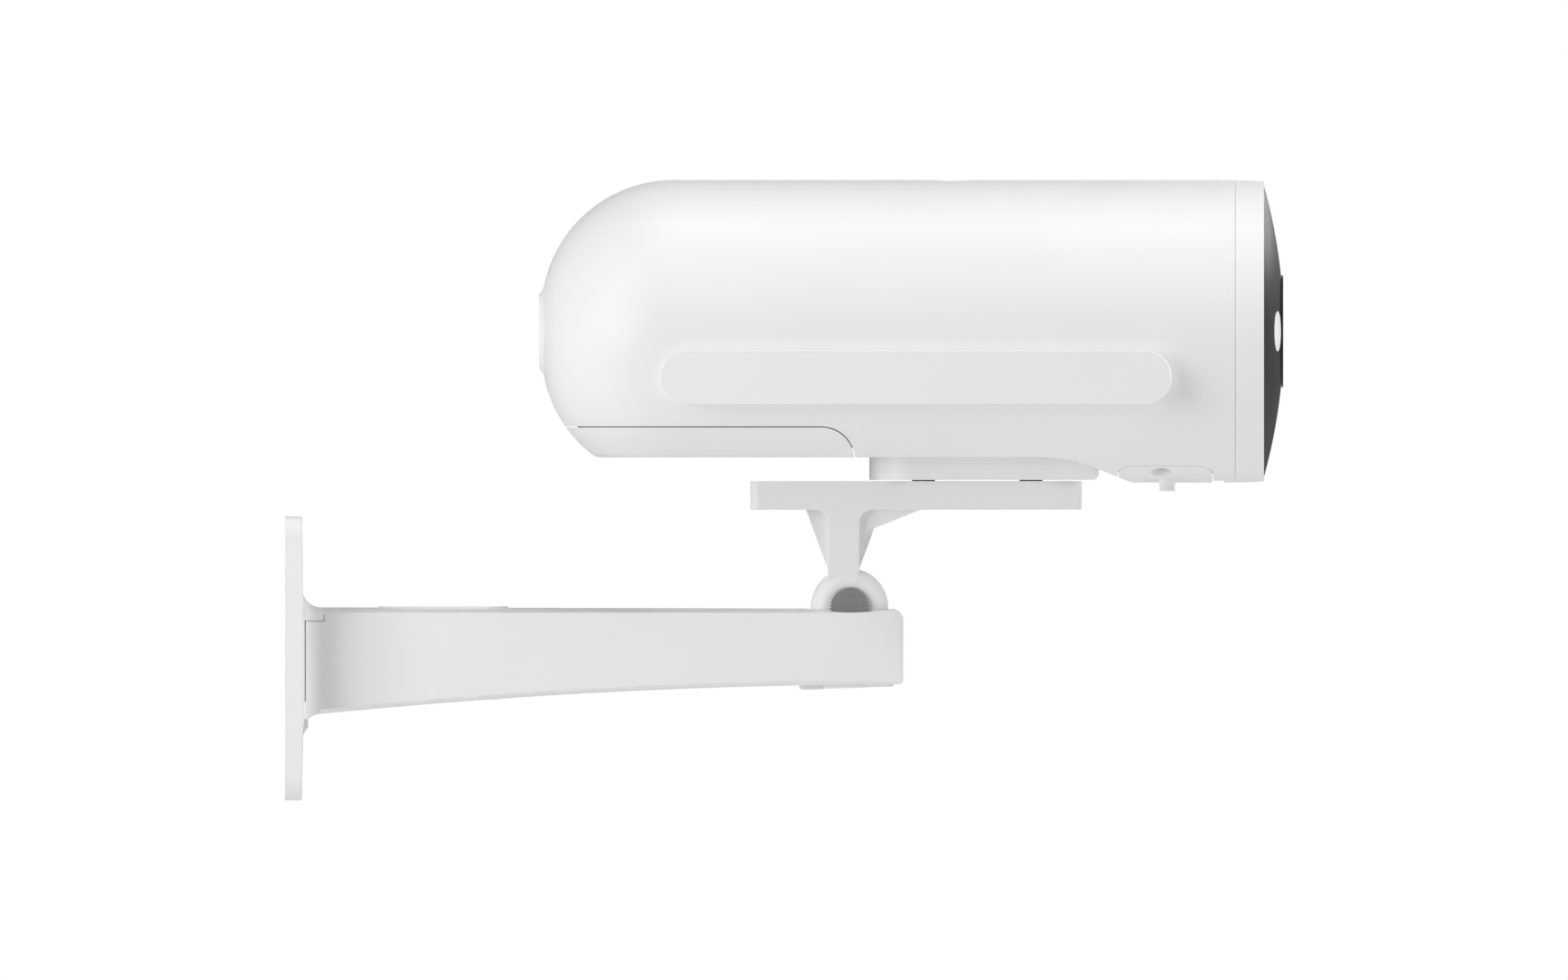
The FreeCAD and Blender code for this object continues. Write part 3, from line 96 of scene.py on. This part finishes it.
class Shader:
    """A Principled material with helpers for noise, bump and colour variation in object space.

    Texture scales are in cycles per metre, and bump distances in metres.
    """

    def __init__(self, name, colour, roughness, metallic=0.0, ior=1.46, specular=0.5,
                 coat=0.0, coat_roughness=0.1, transmission=0.0, sheen=0.0, subsurface=0.0, emission=None):
        self.material = bpy.data.materials.new(name)
        self.material.use_nodes = True
        self.tree = self.material.node_tree
        self.nodes, self.links = self.tree.nodes, self.tree.links
        self.bsdf = self.nodes["Principled BSDF"]
        sockets = {
            "Base Color": (*colour, 1.0), "Roughness": roughness, "Metallic": metallic, "IOR": ior,
            "Specular IOR Level": specular, "Coat Weight": coat, "Coat Roughness": coat_roughness,
            "Transmission Weight": transmission, "Sheen Weight": sheen, "Subsurface Weight": subsurface,
        }
        for socket, value in sockets.items():
            self.put(socket, value)
        if emission:
            self.put("Emission Color", (*emission[0], 1.0))
            self.put("Emission Strength", emission[1])
        self.colour = colour
        self.last_normal = None
        self.place = self.add("ShaderNodeTexCoord").outputs["Object"]

    def put(self, socket, value):
        self.bsdf.inputs[socket].default_value = value

    def add(self, kind, **settings):
        node = self.nodes.new(kind)
        for key, value in settings.items():
            setattr(node, key, value)
        return node

    def stretched(self, scale):
        """Object coordinates with each axis scaled; a small scale draws a texture out along that axis."""
        mapping = self.add("ShaderNodeMapping")
        mapping.inputs["Scale"].default_value = scale
        self.links.new(self.place, mapping.inputs["Vector"])
        return mapping.outputs["Vector"]

    def noise(self, scale, detail=3.0, rough=0.5, stretch=None):
        node = self.add("ShaderNodeTexNoise")
        node.inputs["Scale"].default_value = scale
        node.inputs["Detail"].default_value = detail
        node.inputs["Roughness"].default_value = rough
        self.links.new(self.stretched(stretch) if stretch else self.place, node.inputs["Vector"])
        return node.outputs["Fac"]

    def remap(self, value, low, high):
        """The middle of a noise's range, spread from low to high."""
        node = self.add("ShaderNodeMapRange", clamp=True)
        node.inputs["From Min"].default_value = NOISE_LOW
        node.inputs["From Max"].default_value = NOISE_HIGH
        node.inputs["To Min"].default_value = low
        node.inputs["To Max"].default_value = high
        self.links.new(value, node.inputs["Value"])
        return node.outputs["Result"]

    def ramp(self, value, stops, constant=False):
        """Colours by value, from (position, colour) stops."""
        node = self.add("ShaderNodeValToRGB")
        node.color_ramp.interpolation = "CONSTANT" if constant else "LINEAR"
        elements = node.color_ramp.elements
        while len(elements) < len(stops):
            elements.new(0.5)
        for element, (position, colour) in zip(elements, stops):
            element.position = position
            element.color = (*colour, 1.0)
        self.links.new(value, node.inputs["Fac"])
        return node.outputs["Color"]

    def between(self, value, low, high):
        """Colours from low to high over the middle of a noise's range."""
        return self.ramp(value, [(NOISE_LOW, low), (NOISE_HIGH, high)])

    def mix(self, factor, first, colour):
        """The first socket's colour, turning into a plain one as factor rises."""
        node = self.add("ShaderNodeMix", data_type="RGBA")
        self.links.new(factor, node.inputs[MIX_FACTOR])
        self.links.new(first, node.inputs[MIX_FIRST])
        node.inputs[MIX_SECOND].default_value = (*colour, 1.0)
        return node.outputs[MIX_RESULT]

    def colour_from(self, socket):
        self.links.new(socket, self.bsdf.inputs["Base Color"])

    def roughness_from(self, socket):
        self.links.new(socket, self.bsdf.inputs["Roughness"])

    def bump(self, height, distance, strength):
        """Relief on top of any relief added before."""
        node = self.add("ShaderNodeBump")
        node.inputs["Strength"].default_value = strength
        node.inputs["Distance"].default_value = distance
        self.links.new(height, node.inputs["Height"])
        if self.last_normal is not None:
            self.links.new(self.last_normal, node.inputs["Normal"])
        self.last_normal = node.outputs["Normal"]
        self.links.new(self.last_normal, self.bsdf.inputs["Normal"])

    def tint(self, amount, scale):
        """Slow drift of the colour, as moulded parts have."""
        dark = tuple(c * (1 - amount) for c in self.colour)
        light = tuple(min(1.0, c * (1 + amount)) for c in self.colour)
        self.colour_from(self.between(self.noise(scale, 2.0), dark, light))


def moulded(name, colour, roughness, grain, depth, drift=0.012):
    """Spark-eroded moulded plastic: fine grain, faint flow marks and slightly uneven gloss."""
    s = Shader(name, colour, roughness)
    s.tint(drift, 14.0)
    s.roughness_from(s.remap(s.noise(55.0, 4.0), roughness - 0.05, roughness + 0.06))
    s.bump(s.noise(420.0, 2.0), 10 * MICRON, 0.5)
    s.bump(s.noise(grain, 2.0, 0.6), depth, 0.55)
    return s.material


# ---------------------------------------------------------------- materials, one per record slot
def housing_white():
    """Smooth white plastic of the camera's body."""
    return moulded("housing_white", (0.88, 0.88, 0.88), 0.42, grain=3600.0, depth=12 * MICRON)


def bracket_white():
    """The bracket's plastic is a little greyer and coarser than the housing's."""
    return moulded("bracket_white", (0.87, 0.87, 0.87), 0.47, grain=2600.0, depth=20 * MICRON)


def soft_white():
    """Matt silicone rubber of the spacers and the pull tab."""
    s = Shader("soft_white", (0.87, 0.87, 0.86), 0.62, specular=0.35, sheen=0.15, subsurface=0.05)
    s.tint(0.02, 60.0)
    s.bump(s.noise(1800.0, 4.0), 30 * MICRON, 0.6)
    return s.material


def seal_grey():
    """Dark, dull rubber of the seals."""
    s = Shader("seal_grey", (0.03, 0.03, 0.032), 0.7, specular=0.3, sheen=0.2)
    s.tint(0.25, 90.0)
    s.bump(s.noise(2200.0, 4.0), 40 * MICRON, 0.7)
    return s.material


def hub_grey():
    """Acetal, with fine lines along the axle from the cutter that formed its teeth."""
    s = Shader("hub_grey", (0.245, 0.245, 0.25), 0.42)
    s.colour_from(s.between(s.noise(180.0, 3.0), (0.23, 0.23, 0.235), (0.26, 0.26, 0.265)))
    s.bump(s.noise(900.0, 3.0, stretch=(1.0, 0.08, 1.0)), 20 * MICRON, 0.5)
    return s.material


def zinc_steel():
    """Zinc plate, mottled and unevenly dull."""
    s = Shader("zinc_steel", (0.60, 0.61, 0.62), 0.32, metallic=1.0)
    mottle = [(0.3, (0.52, 0.53, 0.55)), (0.55, (0.62, 0.63, 0.64)), (0.75, (0.66, 0.66, 0.64))]
    s.colour_from(s.ramp(s.noise(260.0, 4.0), mottle))
    s.roughness_from(s.remap(s.noise(700.0, 4.0), 0.24, 0.45))
    s.bump(s.noise(3000.0, 3.0), 10 * MICRON, 0.4)
    return s.material


def window_black():
    """Dark tinted window with a soft, slightly uneven gloss."""
    s = Shader("window_black", (0.022, 0.022, 0.025), 0.27, ior=1.49)
    s.colour_from(s.between(s.noise(30.0, 2.0), (0.020, 0.020, 0.023), (0.026, 0.026, 0.029)))
    s.roughness_from(s.remap(s.noise(25.0, 3.0), 0.24, 0.30))
    s.bump(s.noise(160.0, 1.0), 4 * MICRON, 0.3)
    return s.material


def trim_black():
    """Finely grained black plastic."""
    s = Shader("trim_black", (0.012, 0.012, 0.013), 0.48, specular=0.45)
    s.tint(0.2, 120.0)
    s.roughness_from(s.remap(s.noise(300.0, 3.0), 0.42, 0.55))
    s.bump(s.noise(3400.0, 3.0), 20 * MICRON, 0.6)
    return s.material


def lens_glass():
    """Clear glass with a thin coating of a bluish cast."""
    s = Shader("lens_glass", (0.90, 0.92, 0.95), 0.03, ior=1.5, transmission=1.0,
               coat=0.3, coat_roughness=0.02)
    s.put("Coat Tint", (0.72, 0.80, 1.0, 1.0))
    s.roughness_from(s.remap(s.noise(90.0, 2.0), 0.015, 0.045))
    return s.material


def spotlight_white():
    """Frosted white diffuser; its faint emission is a painted glow that brightens it, not a lit lamp."""
    # the emission here is painted light: an unlit diffuser made to glow a little brighter
    s = Shader("spotlight_white", (0.97, 0.97, 0.965), 0.2, coat=0.3, emission=((1.0, 1.0, 0.98), 0.16))
    s.tint(0.01, 40.0)
    s.bump(s.noise(2600.0, 2.0), 10 * MICRON, 0.4)
    return s.material


def chassis_grey():
    """Dark plastic of the inner frame and the parts on it."""
    return moulded("chassis_grey", (0.065, 0.066, 0.07), 0.55, grain=2400.0, depth=30 * MICRON, drift=0.12)


def circuit_board():
    """Green solder mask over lighter copper traces, with tinned pads."""
    mask_green, mask_shade, trace_green = (0.012, 0.10, 0.04), (0.011, 0.088, 0.036), (0.03, 0.19, 0.08)
    tin = (0.55, 0.54, 0.50)
    s = Shader("circuit_board", mask_green, 0.34, coat=0.3)
    cells = s.add("ShaderNodeTexVoronoi", feature="F1", distance="MANHATTAN")
    cells.inputs["Scale"].default_value = 420.0
    s.links.new(s.place, cells.inputs["Vector"])
    pads = s.ramp(cells.outputs["Distance"], [(0.0, (1, 1, 1)), (0.30, (0, 0, 0))], constant=True)
    traces = s.add("ShaderNodeTexBrick")
    traces.inputs["Scale"].default_value = 260.0
    traces.inputs["Mortar Size"].default_value = 0.035
    traces.inputs["Color1"].default_value = (*mask_green, 1)
    traces.inputs["Color2"].default_value = (*mask_shade, 1)
    traces.inputs["Mortar"].default_value = (*trace_green, 1)
    s.links.new(s.place, traces.inputs["Vector"])
    s.colour_from(s.mix(pads, traces.outputs["Color"], tin))
    s.bump(traces.outputs["Fac"], 30 * MICRON, 0.5)
    return s.material


def chip_dark():
    """Moulded black resin of the image sensor and the infrared lamps."""
    s = Shader("chip_dark", (0.018, 0.018, 0.02), 0.38)
    s.tint(0.2, 500.0)
    s.bump(s.noise(4000.0, 2.0), 10 * MICRON, 0.5)
    return s.material


def led_yellow():
    """Phosphor of the white lamps, and the yellow insulation of some leads."""
    s = Shader("led_yellow", (0.82, 0.62, 0.12), 0.35, subsurface=0.1)
    s.colour_from(s.between(s.noise(1500.0, 2.0), (0.80, 0.58, 0.10), (0.88, 0.70, 0.2)))
    return s.material


def aluminium():
    """Extruded aluminium, with die lines along its length."""
    s = Shader("aluminium", (0.72, 0.73, 0.74), 0.36, metallic=1.0)
    lines = s.noise(1600.0, 3.0, stretch=(0.02, 1.0, 1.0))
    s.colour_from(s.between(lines, (0.66, 0.67, 0.69), (0.78, 0.78, 0.79)))
    s.roughness_from(s.remap(s.noise(240.0, 3.0), 0.3, 0.44))
    s.bump(lines, 20 * MICRON, 0.5)
    return s.material


def cell_wrap():
    """Blue shrink sleeve of the battery cells and of some leads, finely wrinkled along X."""
    s = Shader("cell_wrap", (0.03, 0.16, 0.36), 0.3, coat=0.4)
    s.tint(0.08, 50.0)
    s.bump(s.noise(260.0, 3.0, stretch=(0.15, 1.0, 1.0)), 60 * MICRON, 0.5)
    return s.material


def nickel():
    """Nickel plate of the contacts and the port, a little uneven."""
    s = Shader("nickel", (0.66, 0.63, 0.57), 0.22, metallic=1.0)
    s.roughness_from(s.remap(s.noise(500.0, 4.0), 0.16, 0.34))
    s.colour_from(s.between(s.noise(300.0, 3.0), (0.60, 0.57, 0.51), (0.70, 0.67, 0.61)))
    s.bump(s.noise(2500.0, 2.0), 10 * MICRON, 0.4)
    return s.material


MATERIALS = {
    "housing_white": housing_white(), "bracket_white": bracket_white(), "soft_white": soft_white(),
    "seal_grey": seal_grey(), "hub_grey": hub_grey(), "zinc_steel": zinc_steel(),
    "window_black": window_black(), "trim_black": trim_black(), "lens_glass": lens_glass(),
    "spotlight_white": spotlight_white(), "chassis_grey": chassis_grey(), "circuit_board": circuit_board(),
    "chip_dark": chip_dark(), "led_yellow": led_yellow(), "aluminium": aluminium(),
    "cell_wrap": cell_wrap(), "nickel": nickel(),
}


def dress_cad_nodes():
    """Gives every CAD node the material of its slot in the record."""
    for name, node in NODES.items():
        material = MATERIALS[SLOT_OF[name]]
        if not node.material_slots:
            node.data.materials.append(material)
        for place in node.material_slots:
            place.material = material


dress_cad_nodes()


# ---------------------------------------------------------------- leads between the boards
def spot(node, along_x, along_y, along_z):
    """A point of a node's box, each share from 0 at its low side to 1 at its high side."""
    low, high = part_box(node)
    return Vector(a + (b - a) * share for a, b, share in zip(low, high, (along_x, along_y, along_z)))


def lead(name, slot, radius, points):
    """Insulated wire through the given points, in metres, and coloured as its slot."""
    data = bpy.data.curves.new(name, "CURVE")
    data.dimensions = "3D"
    data.bevel_depth = radius
    data.bevel_resolution = 4
    data.resolution_u = 10
    data.use_fill_caps = True
    spline = data.splines.new("NURBS")
    spline.points.add(len(points) - 1)
    for place, point in zip(spline.points, points):
        place.co = (*point, 1.0)
    spline.order_u = 3
    spline.use_endpoint_u = True
    data.materials.append(MATERIALS[slot])
    wire = bpy.data.objects.new(name, data)
    bpy.context.scene.collection.objects.link(wire)
    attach(wire, "camera_head")


def along(start, route, side=1):
    """The points of a route that begins at start; side -1 mirrors it across the middle of the camera."""
    return [start + Vector((x, y * side, z)) * MM for x, y, z in route]


def battery_lead(side, slot):
    """From the front of the battery case, out round the shelf, up, and back to the main board."""
    points = along(spot("battery_case", 1.0, 0.5 + 0.3 * side, 0.78), BATTERY_ROUTE, side)
    end = spot("main_board", 0.354 if side > 0 else 0.272, 0.5 + 0.37 * side, 0.52)
    lead(f"battery_lead_{slot}", slot, BATTERY_WIRE, points + [end])


def button_lead(step, slot):
    """From the push-button board at the rear to the rear end of the main board."""
    points = along(spot("button_board", 1.0, 0.5 + 0.1 * step, 0.75), BUTTON_ROUTE)
    end = spot("main_board", 0.067, 0.70 + 0.02 * step, 0.75)
    lead(f"button_lead_{slot}", slot, THIN_WIRE, points + [end])


def microphone_lead(step, slot):
    """From the microphone down and forward to the main board."""
    points = along(spot("microphone", 0.5, 0.5 + 0.18 * step, 0.0), MICROPHONE_ROUTE)
    end = spot("main_board", 0.85, 0.82 + 0.02 * step, 0.95)
    lead(f"microphone_lead_{slot}", slot, THIN_WIRE, points + [end])


def lamp_lead(step, slot):
    """From the foot of the lamp board back to the top of the port board."""
    start = spot("led_board", 0.0, 0.64 + 0.02 * step, 0.105)
    end = Vector((start.x - LAMP_LEAD_REACH, start.y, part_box("port_board")[1].z - SOLDER_DEPTH))
    lead(f"lamp_lead_{slot}", slot, THIN_WIRE, along(start, LAMP_ROUTE) + [end])


def make_leads():
    for side, slot in ((1, "led_yellow"), (-1, "trim_black")):
        battery_lead(side, slot)
    for step, slot in ((-1, "cell_wrap"), (1, "led_yellow")):
        button_lead(step, slot)
        microphone_lead(step, slot)
    for step, slot in enumerate(("trim_black", "cell_wrap", "led_yellow")):
        lamp_lead(step, slot)


make_leads()


# ---------------------------------------------------------------- camera, light and floor
def make_camera():
    """Level, straight from the side, without perspective."""
    data = bpy.data.cameras.new("view_camera")
    data.type = "ORTHO"
    data.ortho_scale = VIEW_WIDTH
    data.clip_end = 10.0
    data.dof.use_dof = False
    camera = bpy.data.objects.new("view_camera", data)
    bpy.context.scene.collection.objects.link(camera)
    camera.location = (VIEW_CENTRE_X, -CAMERA_DISTANCE, VIEW_CENTRE_Z)
    camera.rotation_euler = (math.radians(90), 0, 0)
    bpy.context.scene.camera = camera


def area_lamp(name, width, height, power):
    """A soft light of the given size in metres and power in watts, which doesn't show itself."""
    data = bpy.data.lights.new(name, "AREA")
    data.shape = "RECTANGLE"
    data.size, data.size_y = width, height
    data.energy = power
    lamp = bpy.data.objects.new(name, data)
    lamp.visible_camera = False
    bpy.context.scene.collection.objects.link(lamp)
    return lamp


def turn_to_object(lamp, azimuth, elevation, distance):
    """Stands a lamp away from the object, facing it; azimuth 0 is at -Y and 90 at +X, in degrees."""
    turn, rise = math.radians(azimuth), math.radians(elevation)
    back = Vector((math.sin(turn) * math.cos(rise), -math.cos(turn) * math.cos(rise), math.sin(rise)))
    aim = (-back).to_track_quat("-Z", "Y").to_matrix().to_4x4()
    lamp.matrix_world = Matrix.Translation(LIT_POINT + back * distance) @ aim


def make_lights():
    """Softboxes round the object, strongest towards its two ends, and the lamp over the floor."""
    azimuth_elevation_power = (
        (-78, -30, 1.0), (-78, 5, 1.0), (-78, 35, 0.4),
        (-50, 5, 6.6), (-50, 35, 4.5),
        (40, 5, 0.9),
        (75, -30, 1.8), (75, 5, 3.5), (75, 35, 9.3),
        (0, 85, 4.1),
    )
    for azimuth, elevation, power in azimuth_elevation_power:
        box = area_lamp(f"light_{azimuth}_{elevation}", BOX_WIDTH, BOX_HEIGHT, power)
        turn_to_object(box, azimuth, elevation, BOX_DISTANCE)
    back_light = area_lamp("back_light", BACK_WIDTH, BACK_HEIGHT, BACK_POWER)
    turn_to_object(back_light, BACK_AZIMUTH, BACK_ELEVATION, BACK_DISTANCE)
    floor_light = area_lamp("floor_light", FLOOR_LAMP_SIZE, FLOOR_LAMP_SIZE, FLOOR_LAMP_POWER)
    floor_light.location = (LIT_POINT.x, LIT_POINT.y, FLOOR_LAMP_Z)


def make_world():
    """Plain studio surround: white to the camera; the grey light it gives is stronger behind the object."""
    world = bpy.data.worlds.new("studio")
    bpy.context.scene.world = world
    world.use_nodes = True
    nodes, links = world.node_tree.nodes, world.node_tree.links
    background = nodes["Background"]
    direction = nodes.new("ShaderNodeSeparateXYZ")
    links.new(nodes.new("ShaderNodeTexCoord").outputs["Generated"], direction.inputs["Vector"])
    behind = nodes.new("ShaderNodeMapRange")
    behind.interpolation_type = "SMOOTHSTEP"
    behind.inputs["From Min"].default_value = TURN_FROM
    behind.inputs["From Max"].default_value = TURN_TO
    links.new(direction.outputs["Y"], behind.inputs["Value"])
    grey = nodes.new("ShaderNodeMix")
    grey.data_type = "RGBA"
    grey.inputs[MIX_FIRST].default_value = (*SURROUND_FRONT, 1.0)
    grey.inputs[MIX_SECOND].default_value = (*SURROUND_BEHIND, 1.0)
    links.new(behind.outputs["Result"], grey.inputs[MIX_FACTOR])
    links.new(grey.outputs[MIX_RESULT], background.inputs["Color"])
    white = nodes.new("ShaderNodeBackground")
    white.inputs["Color"].default_value = (1.0, 1.0, 1.0, 1.0)
    path = nodes.new("ShaderNodeLightPath")
    either = nodes.new("ShaderNodeMixShader")
    links.new(path.outputs["Is Camera Ray"], either.inputs[0])
    links.new(background.outputs[0], either.inputs[1])
    links.new(white.outputs[0], either.inputs[2])
    links.new(either.outputs[0], nodes["World Output"].inputs["Surface"])
    bpy.context.scene.view_settings.view_transform = "Standard"


def make_floor():
    """Wide sheet of matt white paper, far below the object."""
    mesh = bpy.data.meshes.new("floor")
    floor = bpy.data.objects.new("floor", mesh)
    bpy.context.scene.collection.objects.link(floor)
    edit = bmesh.new()
    bmesh.ops.create_grid(edit, x_segments=8, y_segments=8, size=FLOOR_HALF_SIZE)
    bmesh.ops.translate(edit, verts=edit.verts, vec=(FLOOR_X, 0.0, FLOOR_Z))
    edit.to_mesh(mesh)
    edit.free()
    paper = Shader("paper_floor", (0.80, 0.80, 0.80), 0.8, specular=0.2)
    paper.tint(0.01, 6.0)
    paper.bump(paper.noise(300.0, 3.0), 200 * MICRON, 0.2)
    mesh.materials.append(paper.material)


make_camera()
make_lights()
make_world()
make_floor()
